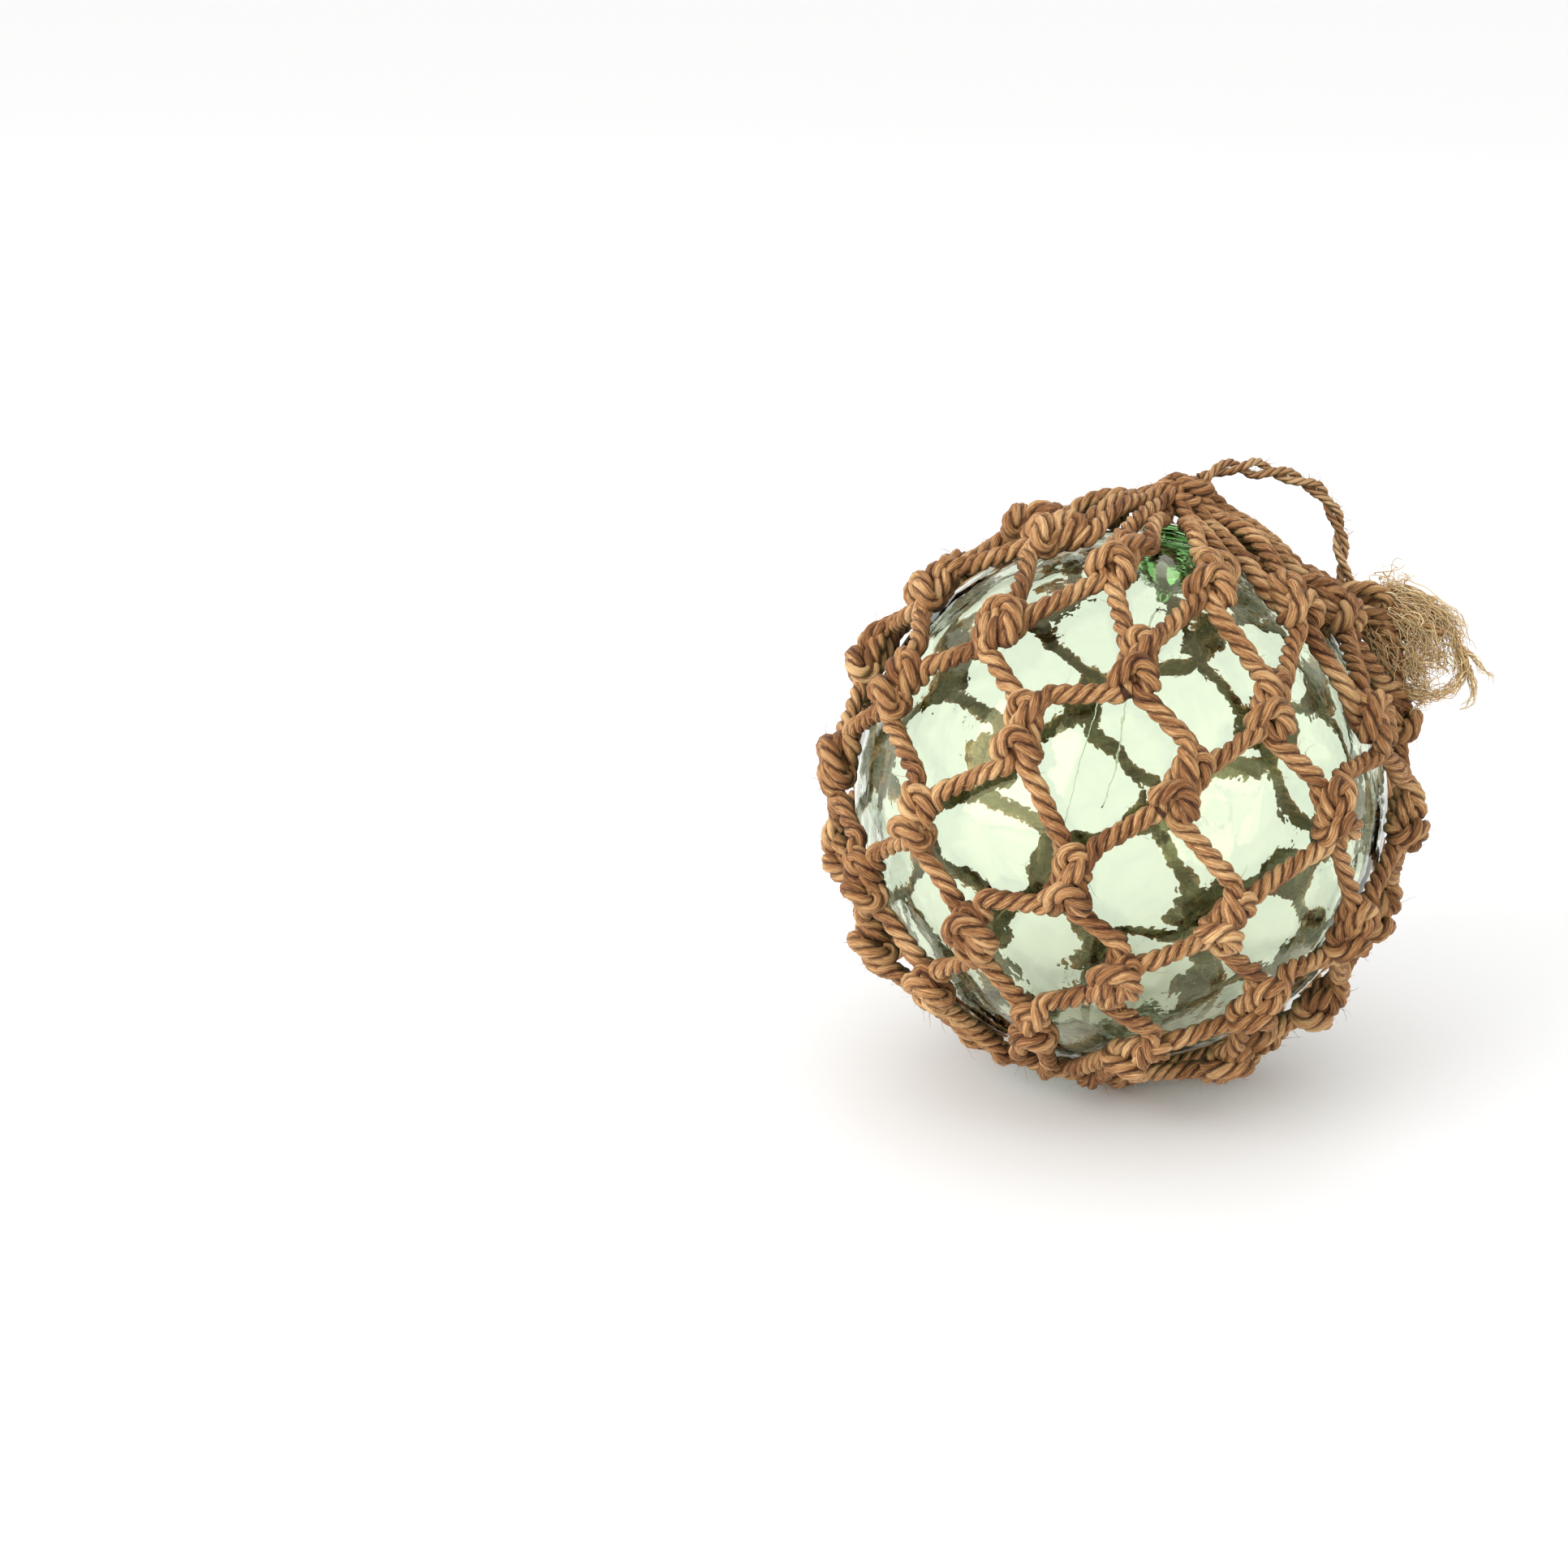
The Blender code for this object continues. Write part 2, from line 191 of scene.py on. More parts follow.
# Hanging loop: its route from the ball's centre, its length, its root hidden in the crown, and how
# its two cords are laid and twisted
LOOP_ROUTE = (
    (0.0435, 0.0306, 0.1493),
    (0.0517, 0.0322, 0.1509),
    (0.0594, 0.0330, 0.1501),
    (0.0709, 0.0339, 0.1481),
    (0.0823, 0.0343, 0.1443),
    (0.0927, 0.0345, 0.1386),
    (0.0983, 0.0337, 0.1312),
    (0.1023, 0.0324, 0.1224),
    (0.1036, 0.0301, 0.1122),
    (0.1045, 0.0279, 0.1036),
    (0.1060, 0.0259, 0.0961),
)
LOOP_ROOT = ((0.0365, 0.0288, 0.1452),)
LOOP_CORD_DIAMETER = 0.0043
LOOP_TWIST = 0.031
LOOP_LAY = 3.4
LOOP_CLOSENESS = 0.94

# Where on the loop its two cords lie parted: from, to, and how far
LOOP_PARTED = (0.006, 0.026, 0.0015)

# Rope: the outline of one of its three strands, as degrees and share of the rope's radius, and in
# how many diameters a strand goes once round
STRANDS = 3
STRAND_OUTLINE = ((-60, 0.58), (-32, 0.90), (0, 1.0), (32, 0.90))
TIGHT_LAY = 1.8
LOOSE_LAY = 2.5
KNOT_LAY = 2.2
CROWN_LAY = 1.9
TAIL_LAY = 2.7

# Fibres turn back this share of the strands' turn. Each rope's noise starts a stretch after the
# last one's, so that no two look alike.
FIBRE_TURN = 0.55
NOISE_GAP = 0.37

# Longest step and sharpest turn from one ring of a rope to the next
LONGEST_STEP = 0.0027
SHARPEST_TURN = radians(24)

# Knots, in rope diameters: across, up and out from the knot's centre. In one face the turn lies in
# front of the neck, in the other it passes behind.
BIGHT_BEHIND = (
    (-0.36, -0.98, -0.30), (-0.46, -0.20, -0.20), (-0.52, 0.50, 0.02), (-0.34, 0.92, 0.18),
    (0.34, 0.92, 0.18), (0.52, 0.50, 0.02), (0.46, -0.20, -0.20), (0.36, -0.98, -0.30),
)
TURN_IN_FRONT = (
    (-0.90, 1.25, -0.22), (-0.62, 0.86, 0.26), (-0.18, 0.34, 0.50), (0.16, -0.02, 0.06),
    (0.46, -0.30, -0.44), (0.86, -0.66, -0.22), (0.84, -0.70, 0.28), (0.40, -0.36, 0.62),
    (-0.10, -0.24, 0.70), (-0.60, -0.48, 0.52), (-0.86, -0.76, 0.10), (-0.60, -0.62, -0.40),
    (-0.10, -0.10, -0.48), (0.46, 0.58, -0.48), (0.82, 1.20, -0.34),
)
BIGHT_IN_FRONT = (
    (-0.34, -1.02, -0.10), (-0.36, -0.55, 0.40), (-0.34, 0.00, 0.46), (-0.40, 0.55, 0.20),
    (0.00, 0.92, -0.04), (0.40, 0.55, 0.20), (0.34, 0.00, 0.46), (0.36, -0.55, 0.40),
    (0.34, -1.02, -0.10),
)
TURN_BEHIND = (
    (-0.92, 1.28, -0.26), (-0.60, 0.66, -0.44), (-0.10, 0.16, -0.36), (0.50, -0.12, -0.30),
    (0.92, -0.22, 0.04), (0.98, 0.14, 0.40), (0.62, 0.52, 0.60), (0.00, 0.70, 0.62),
    (-0.62, 0.52, 0.60), (-0.98, 0.10, 0.36), (-0.86, -0.36, -0.06), (-0.30, -0.36, -0.42),
    (0.36, 0.28, -0.48), (0.88, 1.18, -0.24),
)
KNOT_THICKNESS = 0.98
KNOT_NARROWING = 0.80
KNOT_STRETCH = 1.20
KNOT_SLANT = radians(9)
KNOT_SLANT_STRAY = 0.15
KNOT_SIZES = (1.02, 1.16)
SHARE_IN_FRONT = 0.7
NET_SEED = 11

# Legs between two knots: where on the way their points lie, how far they stray, and the ranges of
# their thickness and lay
LEG_SHARES = (0.3, 0.7)
LEG_STRAY = 0.0007
LEG_THICKNESSES = (0.86, 0.98)
LEG_LAYS = (0.92, 1.1)

# Crown: the middle of its hairpins. One hairpin is given in rope diameters as across, along and up;
# its bend lies past the middle, by a reach that varies. Hairpins lie over each other in an order
# that skips, and some ride higher, over the loop's root.
CROWN_ORBIT = 0.1414
HAIRPIN = (
    (-0.48, 2.0, -0.55), (-0.44, 0.7, 0.15), (-0.36, -1, 0.0),
    (0.36, -1, 0.0), (0.44, 0.7, 0.15), (0.48, 2.0, -0.55),
)
HAIRPIN_REACHES = (0.75, 1.25)
HAIRPIN_SLIP = 0.25
HAIRPIN_THICKNESSES = (0.72, 0.84)
HAIRPIN_SKIP = 3
HAIRPIN_LAYERS = 0.9
HAIRPINS_OVER_LOOP = (6, 7, 8)
OVER_LOOP = 0.35

# Gathered strands from the top knots to the crown
GATHERED_SHARES = (0.25, 0.5, 0.75)
GATHERED_THICKNESSES = (0.74, 0.90)
GATHERED_LIFTS = (0.0010, 0.0052)
GATHERED_STRAY = 0.0022
GATHERED_LAYS = (0.9, 1.15)

# Closing ring under the ball, and the hooks of the last course on it, in rope diameters
RING_POINTS = 16
RING_LIFT = 0.001
RING_THICKNESS = 0.9
HOOK = (
    (-0.55, 1.0, 0.1), (-0.42, 0.2, 0.45), (-0.32, -0.55, 0.2),
    (0.32, -0.55, -0.1), (0.42, 0.2, -0.1), (0.55, 1.0, 0.0),
)
HOOK_THICKNESS = 0.85

# Short hairs that stand off the ropes: how many on the net and on the loop, their longest, the
# share of it that the shortest have, and how rare the long ones are
NET_HAIRS = 2600
NET_HAIR_LENGTH = 0.011
NET_HAIR_SEED = 17
LOOP_HAIRS = 130
LOOP_HAIR_LENGTH = 0.010
LOOP_HAIR_SEED = 5
SHORTEST_HAIR = 0.25
LONG_HAIR_RARITY = 2.2

# Where in the rope a hair is rooted, how far inwards it may point, how it leans along the rope and
# how it curls, and its size
HAIR_ROOT = 0.8
HAIR_LEAST_OUT = -0.2
HAIR_LEANS = (0.3, 1.4)
HAIR_CURL = 0.55
HAIR_BEND = 0.35
HAIR_POINTS = 5
HAIR_RADIUS = 0.00011
HAIR_THICKNESSES = (0.8, 1.3)

# Any single fibre: its sides, how thick its tip is, its place in the noise and its depth there
FIBRE_SIDES = 3
FIBRE_TIP = 0.35
NOISE_SPAN = 9
NOISE_STEP = 0.001
HAIR_DEPTH = 0.0049

# Frayed tail, as the camera sees it from the ball's centre: right, up and towards the viewer. First
# its thick strands, each as a route and how thick it starts; then the locks of loose fibres, each as
# a route, how many fibres it has, how far they spread at its start and end, and how much they curl.
TAIL_STRANDS = (
    (((0.0935, 0.0930, -0.002), (0.0995, 0.0955, 0.004), (0.1094, 0.0966, 0.009),
      (0.1178, 0.0964, 0.012), (0.1234, 0.0928, 0.013), (0.1240, 0.0886, 0.011),
      (0.1190, 0.0872, 0.008)), 0.0086),
    (((0.1105, 0.0870, 0.010), (0.1196, 0.0844, 0.014), (0.1286, 0.0820, 0.015),
      (0.1350, 0.0780, 0.015)), 0.0068),
    (((0.1120, 0.0838, 0.010), (0.1214, 0.0790, 0.014), (0.1310, 0.0748, 0.015),
      (0.1370, 0.0705, 0.015)), 0.0060),
    (((0.1170, 0.0800, 0.008), (0.1208, 0.0695, 0.014), (0.1228, 0.0623, 0.015),
      (0.1256, 0.0553, 0.015)), 0.0074),
    (((0.1085, 0.0915, -0.001), (0.1180, 0.0912, 0.004), (0.1260, 0.0890, 0.006)), 0.0082),
    (((0.1190, 0.0850, 0.008), (0.1240, 0.0770, 0.013), (0.1272, 0.0670, 0.015),
      (0.1282, 0.0570, 0.016), (0.1300, 0.0500, 0.015)), 0.0098),
    (((0.1265, 0.0520, 0.012), (0.1340, 0.0482, 0.014), (0.1420, 0.0478, 0.014)), 0.0058),
    (((0.1075, 0.0850, 0.000), (0.1135, 0.0795, 0.006), (0.1180, 0.0700, 0.009),
      (0.1230, 0.0600, 0.010)), 0.0074),
    (((0.1240, 0.0895, 0.010), (0.1345, 0.0830, 0.017), (0.1423, 0.0784, 0.019),
      (0.1490, 0.0755, 0.018)), 0.0060),
)
TAIL_LOCKS = (
    (((0.1226, 0.0954, 0.008), (0.1346, 0.0922, 0.010), (0.1441, 0.0868, 0.012),
      (0.1519, 0.0814, 0.012), (0.1555, 0.0742, 0.014), (0.1561, 0.0677, 0.014)),
     130, 0.0024, 0.0030, 0.0028),
    (((0.1535, 0.0790, 0.012), (0.1585, 0.0671, 0.014), (0.1609, 0.0599, 0.015),
      (0.1633, 0.0521, 0.016), (0.1621, 0.0443, 0.016), (0.1543, 0.0396, 0.016)),
     24, 0.0008, 0.0008, 0.0008),
    (((0.1540, 0.0790, 0.012), (0.1579, 0.0641, 0.014), (0.1579, 0.0563, 0.016),
      (0.1525, 0.0497, 0.018), (0.1435, 0.0461, 0.018), (0.1358, 0.0443, 0.018)),
     34, 0.0010, 0.0016, 0.0014),
    (((0.1550, 0.0730, 0.012), (0.1645, 0.0641, 0.013), (0.1680, 0.0593, 0.014),
      (0.1728, 0.0563, 0.014), (0.1725, 0.0525, 0.014)), 12, 0.0006, 0.0006, 0.0006),
    (((0.1226, 0.0972, 0.006), (0.1262, 0.0995, 0.006), (0.1310, 0.1007, 0.006),
      (0.1358, 0.1045, 0.004)), 26, 0.0026, 0.0034, 0.0032),
    (((0.1238, 0.0880, 0.010), (0.1346, 0.0790, 0.018), (0.1393, 0.0700, 0.021),
      (0.1381, 0.0611, 0.021), (0.1346, 0.0521, 0.019)), 105, 0.0030, 0.0044, 0.0038),
    (((0.1175, 0.0800, 0.008), (0.1208, 0.0683, 0.015), (0.1235, 0.0593, 0.016),
      (0.1286, 0.0503, 0.016)), 44, 0.0022, 0.0030, 0.0020),
    (((0.1300, 0.0900, 0.006), (0.1453, 0.0800, 0.008), (0.1495, 0.0730, 0.010),
      (0.1465, 0.0670, 0.012)), 90, 0.0030, 0.0040, 0.0040),
    (((0.1270, 0.0700, 0.012), (0.1345, 0.0591, 0.018), (0.1400, 0.0513, 0.020),
      (0.1346, 0.0461, 0.018)), 76, 0.0028, 0.0038, 0.0036),
    (((0.1346, 0.0463, 0.018), (0.1393, 0.0435, 0.018), (0.1330, 0.0384, 0.018)),
     12, 0.0012, 0.0018, 0.0010),
    (((0.1400, 0.0661, 0.016), (0.1495, 0.0621, 0.016), (0.1535, 0.0563, 0.014)),
     22, 0.0030, 0.0034, 0.0034),
    (((0.1262, 0.0500, 0.016), (0.1346, 0.0479, 0.018), (0.1429, 0.0473, 0.018),
      (0.1549, 0.0513, 0.016)), 34, 0.0016, 0.0016, 0.0018),
)
TAIL_DIAMETER = 0.008
TAIL_TAPER = 0.4
TAIL_SEED = 31

# A fibre of the tail: its points and radius, where on its lock it starts and ends, its waves, the
# share of its curl that it starts with, and its fine crimp
FIBRE_POINTS = 20
FIBRE_RADIUS = 0.00034
FIBRE_THICKNESSES = (0.6, 1.4)
FIBRE_DEPTHS = (0.0016, 0.0027)
FIBRE_STARTS = (0.0, 0.25)
FIBRE_ENDS = (0.55, 1.0)
FIBRE_WAVES = (0.8, 2.6)
SECOND_WAVE = 1.3
FIRST_CURL = 0.4
CRIMP = 0.0010
CRIMP_WAVES = (2.7, 2.1)


def leaning_frame(lean_right, lean_back):
    return Matrix.Rotation(lean_right, 3, "Y") @ Matrix.Rotation(-lean_back, 3, "X")


def on_sphere(axes, latitude, longitude, radius):
    level = Vector((sin(longitude), -cos(longitude), 0)) * cos(latitude)
    return axes @ (level + Vector((0, 0, sin(latitude)))) * radius


def seen(right, up, towards):
    """A place from the ball's centre, given as the camera sees it."""
    return Vector((right, up * sin(VIEW_TILT) - towards * cos(VIEW_TILT),
                   up * cos(VIEW_TILT) + towards * sin(VIEW_TILT)))


def upright_frame(point, axis):
    """Axes at a point on the net: X across, Y towards the crown, Z out from the glass."""
    out = point.normalized()
    across = axis.cross(out).normalized()
    return Matrix((across, out.cross(across), out)).transposed()


def knot_turn(row, k):
    even = NET_TURN + (k - (row % 2) / 2) * 2 * pi / KNOTS_ROUND
    return even - NET_CROWDING * sin(even)


def find_ball_centre():
    """Measured from below, because the seal stands over the ball's top."""
    low, high = (Vector(corner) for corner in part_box("glass_float"))
    return Vector(((low.x + high.x) / 2, (low.y + high.y) / 2, low.z + GLASS_RADIUS))


BALL_CENTRE = find_ball_centre()
NET_FRAME = leaning_frame(*NET_LEAN)
NET_AXIS = NET_FRAME.col[2]
CROWN_FRAME = leaning_frame(*CROWN_LEAN)
CROWN = CROWN_FRAME.col[2] * CROWN_ORBIT


def make_camera():
    up = Vector((0, sin(VIEW_TILT), cos(VIEW_TILT)))
    towards_viewer = Vector((0, -cos(VIEW_TILT), sin(VIEW_TILT)))
    aim = BALL_CENTRE + Vector((AIM_RIGHT, 0, 0)) + up * AIM_UP
    data = bpy.data.cameras.new("camera")
    data.lens = LENS
    camera = bpy.data.objects.new("camera", data)
    camera.location = aim + towards_viewer * CAMERA_DISTANCE
    camera.rotation_euler = (pi / 2 - VIEW_TILT, 0, 0)
    bpy.context.scene.collection.objects.link(camera)
    bpy.context.scene.camera = camera


# Materials

def node(tree, kind, settings=None, **inputs):
    """Adds a node. An input is a plain value or another node's output. In its name, _ is a space,
    and i with a number is the input's place."""
    made = tree.nodes.new(kind)
    for name, value in (settings or {}).items():
        setattr(made, name, value)
    for name, value in inputs.items():
        key = int(name[1:]) if name[0] == "i" and name[1:].isdigit() else name.replace("_", " ")
        if isinstance(value, bpy.types.NodeSocket):
            tree.links.new(value, made.inputs[key])
        else:
            made.inputs[key].default_value = value
    return made


def ramp(tree, fac, stops):
    made = node(tree, "ShaderNodeValToRGB", i0=fac)
    elements = made.color_ramp.elements
    while len(elements) < len(stops):
        elements.new(0.5)
    for element, (position, colour) in zip(elements, stops):
        element.position = position
        element.color = (*colour, 1)
    return made.outputs["Color"]


def scaled(tree, vector, factors):
    return node(tree, "ShaderNodeVectorMath", {"operation": "MULTIPLY"}, i0=vector,
                i1=factors).outputs[0]


def noise_field(tree, vector, scale, detail, roughness=0.5):
    return node(tree, "ShaderNodeTexNoise", Vector=vector, Scale=scale, Detail=detail,
                Roughness=roughness).outputs[0]


def shaded(tree, colour, shade):
    return node(tree, "ShaderNodeMix", {"data_type": "RGBA", "blend_type": "MULTIPLY"},
                Factor=1.0, i6=colour, i7=shade).outputs[2]


def new_material(name):
    made = bpy.data.materials.new(name)
    made.use_nodes = True
    return made, made.node_tree, made.node_tree.nodes["Principled BSDF"]


def fibre_material(name, tones, groove, sheen=ROPE_SHEEN, blotch=ROPE_BLOTCH):
    """Plant fibre: streaks that run with the rope's lay, tone that drifts along it, painted shade in
    the grooves, and painted shade on the side that faces the ball's middle and lies against the glass."""
    made, tree, shader = new_material(name)
    lay = node(tree, "ShaderNodeAttribute", {"attribute_name": "lay"}).outputs["Vector"]
    coordinates = node(tree, "ShaderNodeTexCoord").outputs
    place = coordinates["Object"]
    streaks = noise_field(tree, scaled(tree, lay, STREAK_SCALES), 1.0, 3.0, roughness=0.6)
    drift = noise_field(tree, scaled(tree, lay, DRIFT_SCALES), 1.0, 1.0)
    streak_part = node(tree, "ShaderNodeMath", {"operation": "MULTIPLY"}, i0=streaks,
                       i1=STREAK_SHARE).outputs[0]
    tone = node(tree, "ShaderNodeMath", {"operation": "MULTIPLY_ADD"}, i0=drift, i1=DRIFT_SHARE,
                i2=streak_part).outputs[0]
    colour = ramp(tree, tone, tuple(zip(TONE_STOPS, tones)))

    # Painted shade in the grooves between the strands, darker nearer the rope's middle; a tail fibre's
    # depth is drawn at random, so there the same ramp gives each fibre its own tone
    section = scaled(tree, lay, (0, 1, 1))
    from_middle = node(tree, "ShaderNodeVectorMath", {"operation": "LENGTH"},
                       i0=section).outputs["Value"]
    open_share = node(tree, "ShaderNodeMapRange", {"clamp": True}, Value=from_middle,
                      i1=groove[0], i2=groove[1]).outputs[0]
    colour = shaded(tree, colour, ramp(tree, open_share, ((0.0, GROOVE_SHADE), (1.0, WHITE))))
    mottle = noise_field(tree, place, BLOTCH_SCALE, 2.0)
    colour = shaded(tree, colour, ramp(tree, mottle, tuple(zip(BLOTCH_STOPS, (blotch, WHITE)))))
    # Painted shade on the side that faces the ball's middle, where the rope lies against the glass
    to_centre = node(tree, "ShaderNodeVectorMath", {"operation": "SUBTRACT"},
                     i0=tuple(BALL_CENTRE), i1=place).outputs[0]
    inward = node(tree, "ShaderNodeVectorMath", {"operation": "NORMALIZE"},
                  i0=to_centre).outputs[0]
    faces_glass = node(tree, "ShaderNodeVectorMath", {"operation": "DOT_PRODUCT"}, i0=inward,
                       i1=coordinates["Normal"]).outputs["Value"]
    painted_shade = ramp(tree, faces_glass, tuple(zip(INNER_STOPS, (WHITE, PAINTED_INNER_SHADE))))
    tree.links.new(shaded(tree, colour, painted_shade), shader.inputs["Base Color"])

    bump = node(tree, "ShaderNodeBump", Strength=FIBRE_BUMP, Distance=FIBRE_BUMP_DEPTH,
                Height=streaks)
    tree.links.new(bump.outputs[0], shader.inputs["Normal"])
    rough = node(tree, "ShaderNodeMapRange", Value=streaks, i3=FIBRE_ROUGHNESS[0],
                 i4=FIBRE_ROUGHNESS[1]).outputs[0]
    tree.links.new(rough, shader.inputs["Roughness"])
    shader.inputs["Sheen Weight"].default_value = sheen
    shader.inputs["Sheen Tint"].default_value = (*SHEEN_TINT, 1)
    shader.inputs["Specular IOR Level"].default_value = FIBRE_SPECULAR
    return made


def glass_material(name, tint, ripple):
    """Clear glass by plain values, with the fine ripples of blown glass in its normals."""
    made, tree, shader = new_material(name)
    shader.inputs["Base Color"].default_value = (*tint, 1)
    shader.inputs["Transmission Weight"].default_value = 1.0
    shader.inputs["Roughness"].default_value = 0.0
    shader.inputs["IOR"].default_value = GLASS_IOR
    shader.inputs["Specular Tint"].default_value = (*GLASS_REFLECTION, 1)
    place = node(tree, "ShaderNodeTexCoord").outputs["Object"]
    slow = noise_field(tree, scaled(tree, place, RIPPLE_STRETCH), SLOW_RIPPLES, 2.0)
    fine = noise_field(tree, place, FINE_RIPPLES, 1.0)
    height = node(tree, "ShaderNodeMath", {"operation": "MULTIPLY_ADD"}, i0=fine, i1=FINE_SHARE,
                  i2=slow).outputs[0]
    bump = node(tree, "ShaderNodeBump", Strength=ripple, Distance=RIPPLE_DEPTH, Height=height)
    tree.links.new(bump.outputs[0], shader.inputs["Normal"])
    return made


# Meshes

def add_mesh(name, verts, faces, materials, slots=None, lay=None):
    mesh = bpy.data.meshes.new(name)
    mesh.from_pydata([tuple(BALL_CENTRE + vert) for vert in verts], [], faces)
    for made in materials:
        mesh.materials.append(made)
    if slots:
        mesh.polygons.foreach_set("material_index", slots)
    mesh.shade_smooth()
    if lay:
        kept = mesh.attributes.new("lay", "FLOAT_VECTOR", "POINT")
        kept.data.foreach_set("vector", [number for row in lay for number in row])
    obj = bpy.data.objects.new(name, mesh)
    bpy.context.scene.collection.objects.link(obj)
    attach(obj, "root")
    return obj


def face_outwards(obj):
    bm = bmesh.new()
    bm.from_mesh(obj.data)
    bmesh.ops.recalc_face_normals(bm, faces=bm.faces)
    bm.to_mesh(obj.data)
    bm.free()


def random_vector(random, spread=1):
    return Vector([random.gauss(0, spread) for _ in range(3)])


def smooth_route(controls, closed):
    """Points on one smooth curve through the controls. A control is its point and any numbers
    that go with it, such as thickness and lay, and so is each point made."""
    points = [control[0] for control in controls]
    count = len(points)

    def tangent(i):
        if closed:
            return (points[(i + 1) % count] - points[i - 1]).normalized()
        return (points[min(i + 1, count - 1)] - points[max(i - 1, 0)]).normalized()

    made = []
    for i in range(count if closed else count - 1):
        j = (i + 1) % count
        start, end = tangent(i), tangent(j)
        span = (points[j] - points[i]).length
        turn = start.angle(end)
        handle = span / (3 * cos(turn / 4) ** 2)
        pieces = max(ceil(span / LONGEST_STEP), ceil(turn / SHARPEST_TURN))
        places = interpolate_bezier(points[i], points[i] + start * handle,
                                    points[j] - end * handle, points[j], pieces + 1)
        for step in range(pieces):
            share = step / pieces
            values = [a + (b - a) * share for a, b in zip(controls[i][1:], controls[j][1:])]
            made.append((places[step], *values))
    if not closed:
        made.append(tuple(controls[-1]))
    return made


def smooth_places(points):
    """Points on one smooth open curve through the given ones."""
    return [place for place, in smooth_route([(Vector(point),) for point in points], False)]


def carried_axes(route, closed):
    """The direction at each point of a route, and a side axis that is carried along untwisted."""
    count = len(route)
    ways = []
    for i in range(count):
        before = route[i - 1][0] if closed or i else route[i][0]
        after = route[(i + 1) % count][0] if closed or i < count - 1 else route[i][0]
        ways.append((after - before).normalized())
    sides = [ways[0].orthogonal().normalized()]
    for i in range(1, count):
        turned = ways[i - 1].rotation_difference(ways[i]) @ sides[-1]
        sides.append((turned - ways[i] * turned.dot(ways[i])).normalized())
    return ways, sides


class Ropes:
    """Laid ropes gathered into one mesh: each is a three-lobed section swept along its route."""

    def __init__(self, diameter=ROPE_DIAMETER):
        self.section = [(radians(angle) + tau * strand / STRANDS, share)
                        for strand in range(STRANDS) for angle, share in STRAND_OUTLINE]
        self.diameter = diameter
        self.verts = []
        self.faces = []
        self.lay = []
        self.offset = 0.0

    def sweep(self, controls, closed, press=None):
        """Adds a rope along its controls, each (point, thickness, lay), and gives its route."""
        route = smooth_route(controls, closed)
        ways, sides = carried_axes(route, closed)
        lengths, turns = self.laid(route, closed)
        shift = 0
        if closed:
            turns, shift = self.meet_start(ways, sides, turns)
        first = len(self.verts)
        for (place, thickness, _), way, side, length, turn in zip(route, ways, sides, lengths, turns):
            up = way.cross(side)
            radius = self.diameter / 2 * thickness
            for angle, share in self.section:
                around = angle + turn
                vert = place + (side * cos(around) + up * sin(around)) * radius * share
                self.verts.append(press(vert) if press else vert)
                fibre = around - FIBRE_TURN * turn
                flat = self.diameter / 2 * share
                self.lay.append((self.offset + length, flat * cos(fibre), flat * sin(fibre)))
        self.skin(first, len(route), closed, shift)
        self.offset += lengths[-1] + NOISE_GAP
        return route

    def laid(self, route, closed):
        """How far along the route each point is, and how far the strands have turned there."""
        lengths = [0.0]
        turns = [0.0]
        for i in range(1, len(route) + closed):
            place, _, lay = route[i % len(route)]
            step = (place - route[i - 1][0]).length
            lengths.append(lengths[-1] + step)
            turns.append(turns[-1] - tau * step / (lay * self.diameter))
        return lengths, turns

    def meet_start(self, ways, sides, turns):
        """Stretches the turns of a closed rope so that its strands meet at the start, and gives
        with them how many points of the section the last ring is shifted by."""
        carried = ways[-1].rotation_difference(ways[0]) @ sides[-1]
        up = ways[0].cross(sides[0])
        slip = -Vector((1, 0)).angle_signed(Vector((carried.dot(sides[0]), carried.dot(up))))
        third = tau / STRANDS
        lobes = round((turns[-1] + slip) / third)
        scale = (lobes * third - slip) / turns[-1]
        return [turn * scale for turn in turns], lobes % STRANDS * len(STRAND_OUTLINE)

    def skin(self, first, count, closed, shift):
        """Joins the rings of a rope, and closes the ends of an open one."""
        size = len(self.section)
        for i in range(count - 1 + closed):
            low = first + i * size
            high = first + (i + 1) % count * size
            slip_by = shift if i == count - 1 else 0
            for a in range(size):
                b = (a + 1) % size
                self.faces.append((low + a, low + b, high + (b + slip_by) % size,
                                   high + (a + slip_by) % size))
        if not closed:
            self.faces.append(tuple(first + a for a in reversed(range(size))))
            self.faces.append(tuple(first + (count - 1) * size + a for a in range(size)))


def press_on_ball(vert):
    """Keeps the rope out of the glass, and flat on what the float stands on."""
    if vert.length < GLASS_RADIUS + GLASS_GAP:
        vert = vert.normalized() * (GLASS_RADIUS + GLASS_GAP)
    lowest = FLOOR_GAP - BALL_CENTRE.z
    if vert.z < lowest:
        vert = Vector((vert.x, vert.y, lowest))
    return vert


